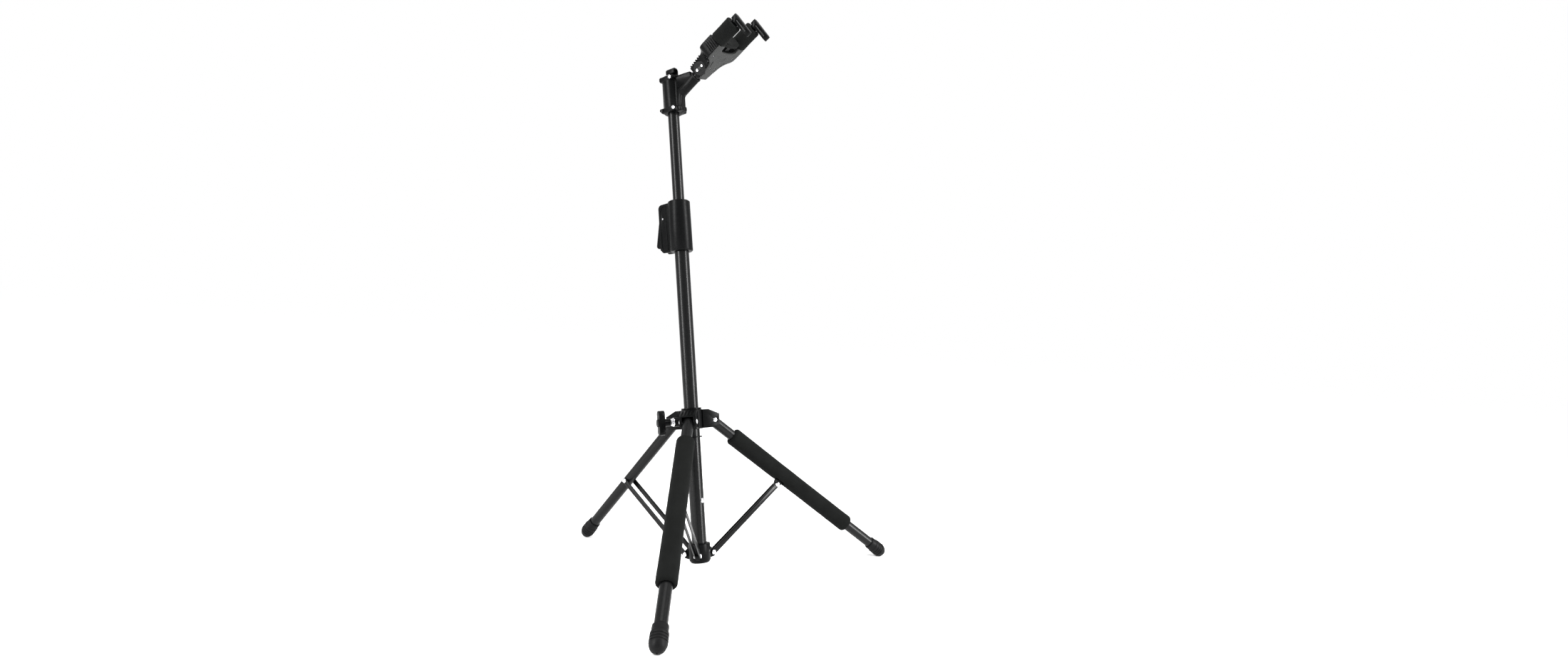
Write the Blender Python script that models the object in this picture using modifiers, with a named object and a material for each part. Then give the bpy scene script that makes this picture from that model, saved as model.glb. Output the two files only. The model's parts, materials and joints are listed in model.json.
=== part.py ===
"""Folding floor stand that holds a guitar by its headstock.

A sliding spider hub carries two long front legs and one shorter rear leg, so the mast leans back
when the feet stand level. Struts tie the legs to a collar at the foot of the mast. A squeeze clutch
sets the height of the upper shaft, whose head holds a pull-out yoke that closes under load.

Everything is modelled in the mast's own frame (mast along +Z, front towards -Y) under one empty,
which leans the stand back and sets its feet on the floor at z = 0. Units are metres.
"""
import math

import bmesh
import bpy
from mathutils import Matrix, Vector

MM = 0.001
GAP = 0.3 * MM                      # left between touching pieces
TURN_STEPS = 24

# Tubes
MAST_RADIUS = 12.5 * MM
MAST_BORE = 11.1 * MM
MAST_TOP = 578 * MM
SHAFT_RADIUS = 10.0 * MM
SHAFT_BORE = 8.8 * MM
SHAFT_BOTTOM = 380 * MM
LEG_RADIUS = 9.25 * MM
LEG_BORE = 8.1 * MM
LEG_TOP = 4.5 * MM                  # a leg's tube runs this far above its pin

# Tripod linkage, seen in a leg's own vertical plane
HUB_PIVOT_Z = 238 * MM
HUB_PIVOT_R = 37 * MM
COLLAR_PIVOT_Z = 15 * MM
COLLAR_PIVOT_R = 23.5 * MM
OPEN_ANGLE = math.radians(50.3)     # between a leg and the mast, set up
FOLDED_ANGLE = math.radians(3.0)
STRUT_ON_REAR_LEG = 153 * MM        # down the leg from the hub's pin
EAR_OFFSET = 20.5 * MM              # the front legs' strut pins sit this far inside the leg's axis
FRONT_LEG = 432 * MM                # from the hub's pin to the tip of the boot
REAR_LEG = 310 * MM
BOOT_LENGTH = 39 * MM
BOOT_DOME = 11.5 * MM
FOAM_START = 47 * MM
FOAM_END = 331 * MM
FOAM_RADIUS = 15.3 * MM
PIN_RADIUS = 2.5 * MM
BAR_THICKNESS = 2.0 * MM
BAR_WIDTH = 8.6 * MM
EAR_THICKNESS = 6.0 * MM
LEGS = {
    "front_left": (math.radians(-60), FRONT_LEG, True),
    "front_right": (math.radians(60), FRONT_LEG, True),
    "rear": (math.radians(180), REAR_LEG, False),
}

# Fittings up the mast
COLLAR_RADIUS = 18.2 * MM
COLLAR_TOP = 33 * MM
MAST_FLOOR = 4 * MM                 # thickness of the collar's floor under the lower tube
LUG_ROOT = 14.5 * MM
LUG_RADIUS = 5.2 * MM
STOP_RING_Z = 211.5 * MM
MAST_RIVET_Z = 104 * MM
MAST_RIVET_HEADING = math.radians(0)
HUB_TOP = 258.5 * MM
HUB_BOTTOM = 225 * MM
HUB_RADIUS = 19 * MM
SOCKET_WIDTH = 28 * MM
KNOB_HEADING = math.radians(-120)
BOLT_Z = 239 * MM
CLUTCH_BOTTOM = 535 * MM
CLUTCH_TOP = 625 * MM
CLUTCH_RADIUS = 19.5 * MM
CLUTCH_BORE = SHAFT_RADIUS + 0.5 * MM
CLUTCH_ROOM = 16.4 * MM             # radius of the room for the lock plate and its spring
CLUTCH_ROOM_TOP = CLUTCH_TOP - 7 * MM
BUSH_ROOM = 14 * MM
LOCK_PLATE_Z = 605.5 * MM
LOCK_PLATE_RADIUS = 15.4 * MM
LEVER_PIN = (32 * MM, 598 * MM)     # distance behind the mast, height
LEVER_PIN_RADIUS = 1.5 * MM
FIN_ROOT = 17.6 * MM
FIN_BACK = 41 * MM
FIN_WIDTH = 17 * MM
LEVER_WIDTH = 10.6 * MM
HEAD_BOTTOM = 785 * MM
HEAD_TOP = 851 * MM
HEAD_BANDS = [                      # half width, front and rear faces, bottom, top
    (16.4 * MM, -18 * MM, 15.8 * MM, HEAD_BOTTOM, HEAD_BOTTOM + 9 * MM),
    (9 * MM, -25 * MM, -10 * MM, HEAD_BOTTOM, HEAD_BOTTOM + 9 * MM),
    (16.4 * MM, -15 * MM, 16 * MM, HEAD_TOP - 9 * MM, HEAD_TOP),
    (7.5 * MM, -16.8 * MM, 16.8 * MM, HEAD_BOTTOM + 5 * MM, HEAD_TOP - 3 * MM),
]
HEAD_RADIUS = 15.6 * MM
HEAD_SCREWS = [(0, -13.6 * MM, HEAD_BOTTOM + 4.5 * MM), (0, 13.2 * MM, HEAD_BOTTOM + 4.5 * MM)]
SCREW_RADIUS = 1.5 * MM
SCREW_HALF = 16.8 * MM
SHAFT_TOP = HEAD_TOP - 12 * MM
WEB_HALF = 7 * MM
WEB_FRONT = 24 * MM
HOOK_TOP = 867 * MM
HOOK_FOOT = 840.9 * MM
HOOK_LEG = 6 * MM                   # outer face of the strap's long leg, along X
HOOK_LIP = -7 * MM                  # outer face of its short lip
HOOK_Y = (-11.5 * MM, 6.5 * MM)
HOOK_THICKNESS = 2.4 * MM

# Stub and yoke
STUB_RISE = math.radians(28)        # above square to the mast
STUB_ROOT = Vector((0, -22 * MM, 820 * MM))
STUB_RADIUS = 9.3 * MM
STUB_MOUTH = 36 * MM                # along the stub from its root
SOCKET_BORE = 7.4 * MM
YOKE_BASE = 43 * MM                 # the neck's lower end, along the stub
YOKE_TURN = math.radians(20)        # how far the yoke is turned on its stem
STEM_RADIUS = 5.5 * MM
ARM_X = 41 * MM
ARM_BASE = 78 * MM
ARM_END = 118 * MM
ARM_FOAM_RADIUS = 14 * MM
JOURNAL_RADIUS = 5.0 * MM
BARREL_RADIUS = 7.8 * MM
BARREL_Y = 0.2 * MM
BARREL_UP = 15.5 * MM
DISC_RADIUS = 12 * MM
DISC_SPAN = (12.7 * MM, 15.6 * MM)
SADDLE_REST = 80 * MM
YOKE_BACK = -13 * MM
YOKE_FRONT = 9 * MM
FACE_THICKNESS = 2.7 * MM
FINGER_END = 130 * MM
FINGER_GAP = 2.8 * MM               # between a sleeve's end and the finger's bar

MATERIALS = {
    "powder_coat": ((0.012, 0.012, 0.013, 1), 0.28, 0.6),
    "black_plastic": ((0.017, 0.017, 0.018, 1), 0.45, 0.0),
    "grey_plastic": ((0.075, 0.078, 0.075, 1), 0.5, 0.0),
    "foam": ((0.022, 0.023, 0.022, 1), 0.95, 0.0),
    "rubber": ((0.02, 0.02, 0.021, 1), 0.8, 0.0),
    "chrome": ((0.8, 0.8, 0.82, 1), 0.18, 1.0),
    "spring_steel": ((0.35, 0.35, 0.36, 1), 0.35, 1.0),
}


# ---------------------------------------------------------------- scene, materials, placing

def clear_scene():
    for obj in list(bpy.data.objects):
        bpy.data.objects.remove(obj, do_unlink=True)


def new_collection(name):
    collection = bpy.data.collections.new(name)
    bpy.context.scene.collection.children.link(collection)
    return collection


def material(name):
    found = bpy.data.materials.get(name)
    if found:
        return found
    colour, roughness, metallic = MATERIALS[name]
    made = bpy.data.materials.new(name)
    made.use_nodes = True
    shader = made.node_tree.nodes["Principled BSDF"]
    shader.inputs["Base Color"].default_value = colour
    shader.inputs["Roughness"].default_value = roughness
    shader.inputs["Metallic"].default_value = metallic
    return made


clear_scene()
STAND = new_collection("guitar_stand")
CUTTERS = new_collection("cutters")


def empty(name, parent=None, location=(0, 0, 0), rotation=(0, 0, 0)):
    """A frame that pieces hang from; a joint's frame sits on the joint's axis."""
    frame = bpy.data.objects.new(name, None)
    frame.empty_display_size = 0.02
    frame.location = location
    frame.rotation_euler = rotation
    frame.parent = parent
    STAND.objects.link(frame)
    return frame


def piece(name, mesh, slot, frame, location=(0, 0, 0), rotation=(0, 0, 0)):
    obj = bpy.data.objects.new(name, mesh)
    if slot:
        mesh.materials.append(material(slot))
    obj.location = location
    obj.rotation_euler = rotation
    obj.parent = frame
    STAND.objects.link(obj)
    return obj


def as_cutter(obj):
    """Moves a piece to the cutters, out of the build."""
    STAND.objects.unlink(obj)
    CUTTERS.objects.link(obj)
    obj.hide_render = True
    obj.display_type = "WIRE"
    return obj


def combine(obj, tool, operation="DIFFERENCE"):
    boolean = obj.modifiers.new(operation.lower(), "BOOLEAN")
    boolean.operation = operation
    boolean.solver = "EXACT"
    boolean.object = as_cutter(tool)
    return obj


def drill(obj, name, frame, radius=PIN_RADIUS + GAP, half_length=20 * MM, **place):
    """Cuts a round hole along X through a piece, at a place in the piece's own frame."""
    tool = rod_mesh(name, radius, (-half_length, 0, 0), (half_length, 0, 0), 12)
    return combine(obj, piece(name, tool, None, frame, **place))


def smooth(mesh, degrees=35):
    mesh.shade_smooth()
    mesh.set_sharp_from_angle(angle=math.radians(degrees))
    return mesh


# ---------------------------------------------------------------- shapes

def mesh_from(bm, name):
    mesh = bpy.data.meshes.new(name)
    bm.to_mesh(mesh)
    bm.free()
    return mesh


def box_mesh(name, size, centre=(0, 0, 0)):
    bm = bmesh.new()
    bmesh.ops.create_cube(bm, size=1)
    bmesh.ops.scale(bm, vec=Vector(size), verts=bm.verts)
    bmesh.ops.translate(bm, vec=Vector(centre), verts=bm.verts)
    return mesh_from(bm, name)


def span_box(name, low, high):
    size = [h - l for l, h in zip(low, high)]
    centre = [(h + l) / 2 for l, h in zip(low, high)]
    return box_mesh(name, size, centre)


def rod_mesh(name, radius, start, end, steps=TURN_STEPS, end_radius=None):
    """A cylinder or cone between two points."""
    start, end = Vector(start), Vector(end)
    axis = end - start
    turn = Vector((0, 0, 1)).rotation_difference(axis).to_matrix().to_4x4()
    place = Matrix.Translation((start + end) / 2) @ turn
    bm = bmesh.new()
    bmesh.ops.create_cone(bm, cap_ends=True, segments=steps, radius1=radius,
                          radius2=radius if end_radius is None else end_radius,
                          depth=axis.length, matrix=place)
    return smooth(mesh_from(bm, name))


def outline_mesh(name, points, low, high):
    """A flat outline in X and Y, extruded from low to high along Z."""
    curve = bpy.data.curves.new(name, "CURVE")
    curve.dimensions = "2D"
    curve.fill_mode = "BOTH"
    curve.extrude = (high - low) / 2
    spline = curve.splines.new("POLY")
    spline.points.add(len(points) - 1)
    for point, (x, y) in zip(spline.points, points):
        point.co = (x, y, 0, 1)
    spline.use_cyclic_u = True
    guide = bpy.data.objects.new(name + "_outline", curve)
    STAND.objects.link(guide)
    graph = bpy.context.evaluated_depsgraph_get()
    mesh = bpy.data.meshes.new_from_object(guide.evaluated_get(graph))
    bpy.data.objects.remove(guide, do_unlink=True)
    bm = bmesh.new()
    bm.from_mesh(mesh)
    bpy.data.meshes.remove(mesh)
    bmesh.ops.remove_doubles(bm, verts=bm.verts, dist=1e-6)
    bmesh.ops.translate(bm, vec=(0, 0, (low + high) / 2), verts=bm.verts)
    bmesh.ops.recalc_face_normals(bm, faces=bm.faces)
    return smooth(mesh_from(bm, name))


def turned(name, profile, slot, frame, closed=False, steps=TURN_STEPS, **place):
    """A profile of (radius, height) pairs, outer side from top to bottom, spun about Z."""
    mesh = bpy.data.meshes.new(name)
    edges = [(i, i + 1) for i in range(len(profile) - 1)]
    if closed:
        edges.append((len(profile) - 1, 0))
    mesh.from_pydata([(r, 0, z) for r, z in profile], edges, [])
    obj = piece(name, mesh, slot, frame, **place)
    screw = obj.modifiers.new("turn", "SCREW")
    screw.steps = steps
    screw.render_steps = steps
    screw.use_merge_vertices = True
    screw.merge_threshold = 1e-5
    screw.use_smooth_shade = True
    return obj


def ring(name, inner, outer, low, high, slot, frame, **place):
    profile = [(outer, high), (outer, low), (inner, low), (inner, high)]
    return turned(name, profile, slot, frame, closed=True, **place)


def spring(name, radius, wire, low, high, turns, frame):
    """A coil of wire along Z."""
    curve = bpy.data.curves.new(name, "CURVE")
    curve.dimensions = "3D"
    curve.bevel_depth = wire / 2
    curve.bevel_resolution = 1
    curve.use_fill_caps = True
    count = int(turns * 12) + 1
    spline = curve.splines.new("POLY")
    spline.points.add(count - 1)
    for i, point in enumerate(spline.points):
        turn = math.tau * turns * i / (count - 1)
        height = low + (high - low) * i / (count - 1)
        point.co = (radius * math.cos(turn), radius * math.sin(turn), height, 1)
    curve.materials.append(material("spring_steel"))
    obj = bpy.data.objects.new(name, curve)
    obj.parent = frame
    STAND.objects.link(obj)
    return obj


def arc(centre, radius, start, end, count):
    """Points on an arc in degrees, ends included."""
    points = []
    for i in range(count + 1):
        angle = math.radians(start + (end - start) * i / count)
        points.append((centre[0] + radius * math.cos(angle), centre[1] + radius * math.sin(angle)))
    return points


def bevel(obj, width, segments=2, degrees=40):
    rounding = obj.modifiers.new("rounding", "BEVEL")
    rounding.width = width
    rounding.segments = segments
    rounding.limit_method = "ANGLE"
    rounding.angle_limit = math.radians(degrees)
    return obj


def rivet_heads(radius, inside, height):
    """Profile parts of a low domed head, as (radius, height) from its edge to its top."""
    return [(radius, inside), (radius * 0.8, inside + height * 0.7), (radius * 0.35, inside + height)]


def cross_pin(half_length, head_radius=4.0 * MM, head_height=1.8 * MM):
    """Profile of a pin along Z with a domed head at each end."""
    top = [(0, half_length + head_height)]
    top += list(reversed(rivet_heads(head_radius, half_length, head_height)))
    top += [(PIN_RADIUS, half_length)]
    return top + [(r, -z) for r, z in reversed(top)]


# ---------------------------------------------------------------- linkage, worked out once

def leg_parts(angle):
    """Unit vectors (outward, up) along a leg and square to it towards the mast."""
    along = Vector((math.sin(angle), -math.cos(angle)))
    inward = Vector((-math.cos(angle), -math.sin(angle)))
    return along, inward


def solve_linkage():
    """The hub's stroke from the rear leg, then where the front legs' strut pins must sit."""
    collar = Vector((COLLAR_PIVOT_R, COLLAR_PIVOT_Z))
    hub = Vector((HUB_PIVOT_R, HUB_PIVOT_Z))
    open_along, open_inward = leg_parts(OPEN_ANGLE)
    shut_along, shut_inward = leg_parts(FOLDED_ANGLE)
    rear_pin = hub + STRUT_ON_REAR_LEG * open_along
    rear_strut = (rear_pin - collar).length
    shut_pin = hub + STRUT_ON_REAR_LEG * shut_along
    reach = shut_pin.x - collar.x
    stroke = collar.y + math.sqrt(rear_strut ** 2 - reach ** 2) - shut_pin.y
    from_open = hub + EAR_OFFSET * open_inward - collar
    from_shut = hub + Vector((0, stroke)) + EAR_OFFSET * shut_inward - collar
    lengths = from_shut.dot(from_shut) - from_open.dot(from_open)
    down_leg = lengths / (2 * (from_open.dot(open_along) - from_shut.dot(shut_along)))
    return stroke, down_leg


HUB_STROKE, STRUT_ON_FRONT_LEG = solve_linkage()


def strut_pin(front, angle=OPEN_ANGLE, lift=0.0):
    """A strut's pin on its leg, as (outward, up)."""
    along, inward = leg_parts(angle)
    hub = Vector((HUB_PIVOT_R, HUB_PIVOT_Z + lift))
    if front:
        return hub + STRUT_ON_FRONT_LEG * along + EAR_OFFSET * inward
    return hub + STRUT_ON_REAR_LEG * along


def dome_centre(length):
    along, _ = leg_parts(OPEN_ANGLE)
    return Vector((HUB_PIVOT_R, HUB_PIVOT_Z)) + (length - BOOT_DOME) * along


def stand_placing():
    """Lean and position that set the three boots level on the floor, centred over the origin."""
    front, rear = dome_centre(FRONT_LEG), dome_centre(REAR_LEG)
    front_y = -front.x * math.cos(LEGS["front_right"][0])
    lean = math.atan2(rear.y - front.y, rear.x - front_y)
    level = Matrix.Rotation(-lean, 3, "X")
    front_foot = level @ Vector((0, front_y, front.y))
    rear_foot = level @ Vector((0, rear.x, rear.y))
    shift = Vector((0, -(front_foot.y + rear_foot.y) / 2, BOOT_DOME - rear_foot.z))
    return lean, shift


LEAN, STAND_SHIFT = stand_placing()


def outward(heading, distance):
    """A direction round the mast: 0 is the front (-Y), 90 degrees is +X."""
    return Vector((math.sin(heading) * distance, -math.cos(heading) * distance, 0))


# ---------------------------------------------------------------- mast

def make_mast(mast):
    tube = ring("lower_tube", MAST_BORE, MAST_RADIUS, MAST_FLOOR + 0.5 * MM, MAST_TOP,
                "powder_coat", mast, steps=32)
    hole = rod_mesh("rivet_hole", PIN_RADIUS + GAP, outward(MAST_RIVET_HEADING, MAST_BORE - 2 * MM),
                    outward(MAST_RIVET_HEADING, MAST_RADIUS + 3 * MM), 12)
    combine(tube, piece("rivet_hole", hole, None, mast, location=(0, 0, MAST_RIVET_Z)))
    profile = [(0, 2 * MM)] + list(reversed(rivet_heads(4.2 * MM, 0, 1.9 * MM)))
    profile += [(PIN_RADIUS, 0), (PIN_RADIUS, -3 * MM), (0, -3 * MM)]
    seat = outward(MAST_RIVET_HEADING, MAST_RADIUS + GAP) + Vector((0, 0, MAST_RIVET_Z))
    turned("mast_rivet", profile, "chrome", mast, steps=16, location=seat,
           rotation=(math.radians(90), 0, MAST_RIVET_HEADING))
    ring("stop_ring", MAST_RADIUS + GAP, 16.2 * MM, STOP_RING_Z - 0.9 * MM, STOP_RING_Z + 0.9 * MM,
         "black_plastic", mast)


def make_collar(mast):
    """The closed casting at the mast's foot, with a wide lug behind and two thin ones in front."""
    profile = [(COLLAR_RADIUS - 2 * MM, COLLAR_TOP), (COLLAR_RADIUS, COLLAR_TOP - 1 * MM),
               (COLLAR_RADIUS, 5 * MM), (COLLAR_RADIUS - 3 * MM, 1 * MM), (0, 0),
               (0, MAST_FLOOR), (MAST_RADIUS + GAP, MAST_FLOOR), (MAST_RADIUS + GAP, COLLAR_TOP)]
    collar = turned("lower_collar", profile, "black_plastic", mast)
    profile_edges(collar)
    for name, (heading, _, front) in LEGS.items():
        width = EAR_THICKNESS if front else 2 * (LEG_RADIUS + 0.2 * MM)
        outline = [(LUG_ROOT, 6 * MM), (COLLAR_PIVOT_R + 1.2 * MM, 8 * MM)]
        outline += arc((COLLAR_PIVOT_R, COLLAR_PIVOT_Z), LUG_RADIUS, -45, 60, 5)
        outline += [(LUG_ROOT, COLLAR_TOP - 5 * MM)]
        lug = outline_mesh("lug", outline, -width / 2, width / 2)
        lug.transform(side_view(heading))
        combine(collar, piece(name + "_lug", lug, None, mast), "UNION")
        place = outward(heading, COLLAR_PIVOT_R) + Vector((0, 0, COLLAR_PIVOT_Z))
        drill(collar, name + "_lug_hole", mast, location=place, rotation=(0, 0, heading))
        pin = rod_mesh("collar_pin", PIN_RADIUS, (-width / 2, 0, 0), (width / 2, 0, 0), 12)
        piece(name + "_collar_pin", pin, "chrome", mast, location=place, rotation=(0, 0, heading))
    core = rod_mesh("collar_core", MAST_RADIUS + GAP, (0, 0, MAST_FLOOR),
                    (0, 0, COLLAR_TOP + 20 * MM), 32)
    combine(collar, piece("collar_core", core, None, mast))


def profile_edges(obj):
    """Closes a turned profile that starts and ends off the axis."""
    mesh = obj.data
    count = len(mesh.vertices)
    mesh.edges.add(1)
    mesh.edges[-1].vertices = (count - 1, 0)


def across_x(mesh):
    """Stands an outline of (y, z) up, so that it was extruded along X."""
    mesh.transform(Matrix(((0, 0, 1, 0), (1, 0, 0, 0), (0, 1, 0, 0), (0, 0, 0, 1))))
    return mesh


def side_view(heading):
    """Turns an outline of (outward, up) into a plate standing along a heading."""
    to_plane = Matrix(((0, 0, -1, 0), (-1, 0, 0, 0), (0, 1, 0, 0), (0, 0, 0, 1)))
    return Matrix.Rotation(heading, 4, "Z") @ to_plane


# ---------------------------------------------------------------- clutch

def make_clutch(mast):
    radius = CLUTCH_RADIUS
    profile = [(CLUTCH_BORE, CLUTCH_TOP), (radius - 1.5 * MM, CLUTCH_TOP),
               (radius, CLUTCH_TOP - 1.5 * MM), (radius + 0.5 * MM, CLUTCH_BOTTOM + 2 * MM),
               (radius - 1 * MM, CLUTCH_BOTTOM), (MAST_RADIUS + GAP, CLUTCH_BOTTOM),
               (MAST_RADIUS + GAP, MAST_TOP - 1 * MM), (BUSH_ROOM, MAST_TOP - 0.5 * MM),
               (BUSH_ROOM, MAST_TOP + 4 * MM), (CLUTCH_ROOM, MAST_TOP + 6 * MM),
               (CLUTCH_ROOM, CLUTCH_ROOM_TOP), (CLUTCH_BORE, CLUTCH_ROOM_TOP)]
    housing = turned("clutch_housing", profile, "black_plastic", mast, closed=True)
    outline = [(FIN_ROOT, CLUTCH_BOTTOM + 1 * MM), (FIN_BACK - 6 * MM, CLUTCH_BOTTOM + 2 * MM),
               (FIN_BACK, CLUTCH_BOTTOM + 8 * MM)]
    outline += arc((FIN_BACK - 7 * MM, CLUTCH_TOP - 8 * MM), 7 * MM, 0, 90, 5)
    outline += [(FIN_ROOT, CLUTCH_TOP - 0.5 * MM)]
    fin = outline_mesh("fin", outline, -FIN_WIDTH / 2, FIN_WIDTH / 2)
    fin.transform(side_view(math.radians(180)))
    combine(housing, piece("fin", fin, None, mast), "UNION")
    half = LEVER_WIDTH / 2 + 0.4 * MM
    slot = span_box("lever_slot", (-half, 20.2 * MM, CLUTCH_BOTTOM - 5 * MM),
                    (half, 60 * MM, CLUTCH_TOP - 3.2 * MM))
    combine(housing, piece("lever_slot", slot, None, mast))
    window = span_box("nose_window", (-half, 12 * MM, LEVER_PIN[1] - 6 * MM),
                      (half, 24 * MM, LEVER_PIN[1] + 13 * MM))
    combine(housing, piece("nose_window", window, None, mast))
    pin_place = (0, LEVER_PIN[0], LEVER_PIN[1])
    drill(housing, "pin_hole", mast, LEVER_PIN_RADIUS + GAP, location=pin_place)
    pin_half = FIN_WIDTH / 2 + 0.2 * MM
    pin = rod_mesh("lever_pin", LEVER_PIN_RADIUS, (-pin_half, 0, 0), (pin_half, 0, 0), 12)
    piece("lever_pin", pin, "chrome", mast, location=pin_place)
    # The guide bush sits in the mouth of the lower tube and carries the shaft.
    flange = [(13.4 * MM, MAST_TOP + 3 * MM), (13.4 * MM, MAST_TOP + GAP),
              (MAST_BORE - GAP, MAST_TOP + GAP), (MAST_BORE - GAP, MAST_TOP - 25 * MM),
              (SHAFT_RADIUS + GAP, MAST_TOP - 25 * MM), (SHAFT_RADIUS + GAP, MAST_TOP + 3 * MM)]
    turned("guide_bush", flange, "black_plastic", mast, closed=True)
    spring("clutch_spring", 13.2 * MM, 1.3 * MM, CLUTCH_ROOM_TOP - 5.8 * MM,
           CLUTCH_ROOM_TOP - 1 * MM, 2.5, mast)
    lever_frame = empty("lever_joint", mast, pin_place)
    outline = [(-16.6 * MM, 4 * MM), (-16.6 * MM, 0.5 * MM), (-4 * MM, -5 * MM),
               (-1.5 * MM, -44 * MM), (2 * MM, -52 * MM)]
    outline += arc((14.5 * MM, -45.5 * MM), 5.5 * MM, -80, 0, 4)
    outline += [(8.3 * MM, 14 * MM), (3 * MM, 20 * MM), (-5 * MM, 14 * MM), (-10 * MM, 5 * MM)]
    lever = outline_mesh("clutch_lever", outline, -LEVER_WIDTH / 2, LEVER_WIDTH / 2)
    lever.transform(side_view(math.radians(180)))
    lever_piece = piece("clutch_lever", lever, "black_plastic", lever_frame)
    drill(lever_piece, "lever_bore", lever_frame, LEVER_PIN_RADIUS + GAP)
    # The lock plate tilts about its front edge.
    edge = LOCK_PLATE_RADIUS - 0.2 * MM
    plate_frame = empty("lock_plate_joint", mast, (0, -edge, LOCK_PLATE_Z))
    ring("lock_plate", SHAFT_RADIUS + 0.7 * MM, LOCK_PLATE_RADIUS, 0, 3 * MM, "spring_steel",
         plate_frame, location=(0, edge, 0))


# ---------------------------------------------------------------- upper shaft and head

def make_shaft(shaft):
    ring("upper_shaft", SHAFT_BORE, SHAFT_RADIUS, SHAFT_BOTTOM, SHAFT_TOP, "powder_coat", shaft,
         steps=32)
    foot = [(MAST_BORE - GAP, SHAFT_BOTTOM - GAP), (MAST_BORE - GAP, SHAFT_BOTTOM - 14 * MM),
            (5 * MM, SHAFT_BOTTOM - 14 * MM), (5 * MM, SHAFT_BOTTOM + 12 * MM),
            (SHAFT_BORE - GAP, SHAFT_BOTTOM + 12 * MM), (SHAFT_BORE - GAP, SHAFT_BOTTOM - GAP)]
    turned("shaft_foot_bush", foot, "black_plastic", shaft, closed=True)


def head_half(shaft, side, name):
    """One half of the head: tube clamp, flanges, socket stub and web, cut at the middle plane."""
    body = rod_mesh(name, HEAD_RADIUS, (0, 0, HEAD_BOTTOM), (0, 0, HEAD_TOP), 32)
    half = piece(name, body, "black_plastic", shaft)
    for index, (half_width, front, rear, low, high) in enumerate(HEAD_BANDS):
        band = span_box("band", (-half_width, front, low), (half_width, rear, high))
        band_piece = piece(f"{name}_band_{index}", band, None, shaft)
        bevel(band_piece, 2.5 * MM, 2)
        combine(half, band_piece, "UNION")
    direction = stub_direction()
    start = STUB_ROOT - direction * 2 * MM
    tube = rod_mesh("stub", STUB_RADIUS, start, STUB_ROOT + direction * STUB_MOUTH, TURN_STEPS)
    combine(half, piece(name + "_stub", tube, None, shaft), "UNION")
    mouth = STUB_ROOT + direction * (STUB_MOUTH - 3 * MM)
    up = Vector((0, direction.z, -direction.y))
    tip = mouth + up * 7 * MM
    low = mouth - up * 7 * MM
    root = STUB_ROOT - up * 8 * MM
    web = [(14 * MM, HEAD_TOP - 1 * MM), (-tip.y, max(tip.z + 4 * MM, HEAD_TOP - 2 * MM)),
           (-tip.y, tip.z), (-low.y, low.z), (-root.y, root.z), (WEB_FRONT, root.z - 3 * MM),
           (WEB_FRONT, HEAD_BOTTOM + 3 * MM), (14 * MM, HEAD_BOTTOM + 3 * MM)]
    web_mesh = outline_mesh("web", web, -WEB_HALF, WEB_HALF)
    web_mesh.transform(side_view(0))
    web_piece = bevel(piece(name + "_web", web_mesh, None, shaft), 2 * MM, 2)
    combine(half, web_piece, "UNION")
    bore = rod_mesh("shaft_bore", SHAFT_RADIUS + GAP, (0, 0, HEAD_BOTTOM - 50 * MM),
                    (0, 0, SHAFT_TOP + GAP), 32)
    combine(half, piece(name + "_bore", bore, None, shaft))
    socket = rod_mesh("socket", SOCKET_BORE, STUB_ROOT + direction * 3 * MM,
                      STUB_ROOT + direction * 60 * MM, TURN_STEPS)
    combine(half, piece(name + "_socket", socket, None, shaft))
    for place in HEAD_SCREWS:
        drill(half, name + "_screw_hole", shaft, SCREW_RADIUS + GAP, location=place)
    front, rear = HOOK_Y
    slot = span_box("hook_slot", (HOOK_LEG - HOOK_THICKNESS - GAP, front - GAP, HOOK_FOOT - GAP),
                    (HOOK_LEG + GAP, rear + GAP, HOOK_TOP))
    combine(half, piece(name + "_hook_slot", slot, None, shaft))
    far = 80 * MM
    left, right = (-far, GAP / 2) if side > 0 else (-GAP / 2, far)
    halving = span_box("halving", (left, -far, HEAD_BOTTOM - far), (right, far, HEAD_TOP + far))
    combine(half, piece(name + "_halving", halving, None, shaft))
    return half


def stub_direction():
    return Vector((0, -math.cos(STUB_RISE), math.sin(STUB_RISE)))


def make_head(shaft):
    head_half(shaft, -1, "head_left_half")
    head_half(shaft, 1, "head_right_half")
    for label, place in zip(("front", "rear"), HEAD_SCREWS):
        screw = rod_mesh("screw", SCREW_RADIUS, (-SCREW_HALF, 0, 0), (SCREW_HALF, 0, 0), 12)
        piece(f"head_{label}_screw", screw, "chrome", shaft, location=place)
    top, thick, lip = HOOK_TOP, HOOK_THICKNESS, HOOK_TOP - 10 * MM
    bend = 3 * MM
    strap = [(HOOK_LEG, HOOK_FOOT), (HOOK_LEG, top - bend), (HOOK_LEG - bend, top),
             (HOOK_LIP + bend, top), (HOOK_LIP, top - bend), (HOOK_LIP, lip),
             (HOOK_LIP + thick, lip), (HOOK_LIP + thick, top - thick),
             (HOOK_LEG - thick, top - thick), (HOOK_LEG - thick, HOOK_FOOT)]
    front, rear = HOOK_Y
    hook = outline_mesh("hook", strap, -rear, -front)
    hook.transform(Matrix.Rotation(math.radians(90), 4, "X"))
    piece("top_hook", hook, "black_plastic", shaft)
    ring_frame = stub_frame("socket_ring_frame", shaft, STUB_MOUTH)
    ring("socket_ring", SOCKET_BORE, STUB_RADIUS + 0.4 * MM, GAP, 2.8 * MM, "rubber", ring_frame)


def stub_frame(name, parent, distance, turn=0.0):
    """A frame on the stub's axis: Z runs out along the stub, X to the right, Y up and back."""
    place = STUB_ROOT + stub_direction() * distance
    lean = math.pi / 2 - STUB_RISE
    frame = empty(name, parent, place)
    frame.rotation_mode = "QUATERNION"
    rotation = Matrix.Rotation(lean, 4, "X") @ Matrix.Rotation(turn, 4, "Z")
    frame.rotation_quaternion = rotation.to_quaternion()
    return frame


# ---------------------------------------------------------------- hub

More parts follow.
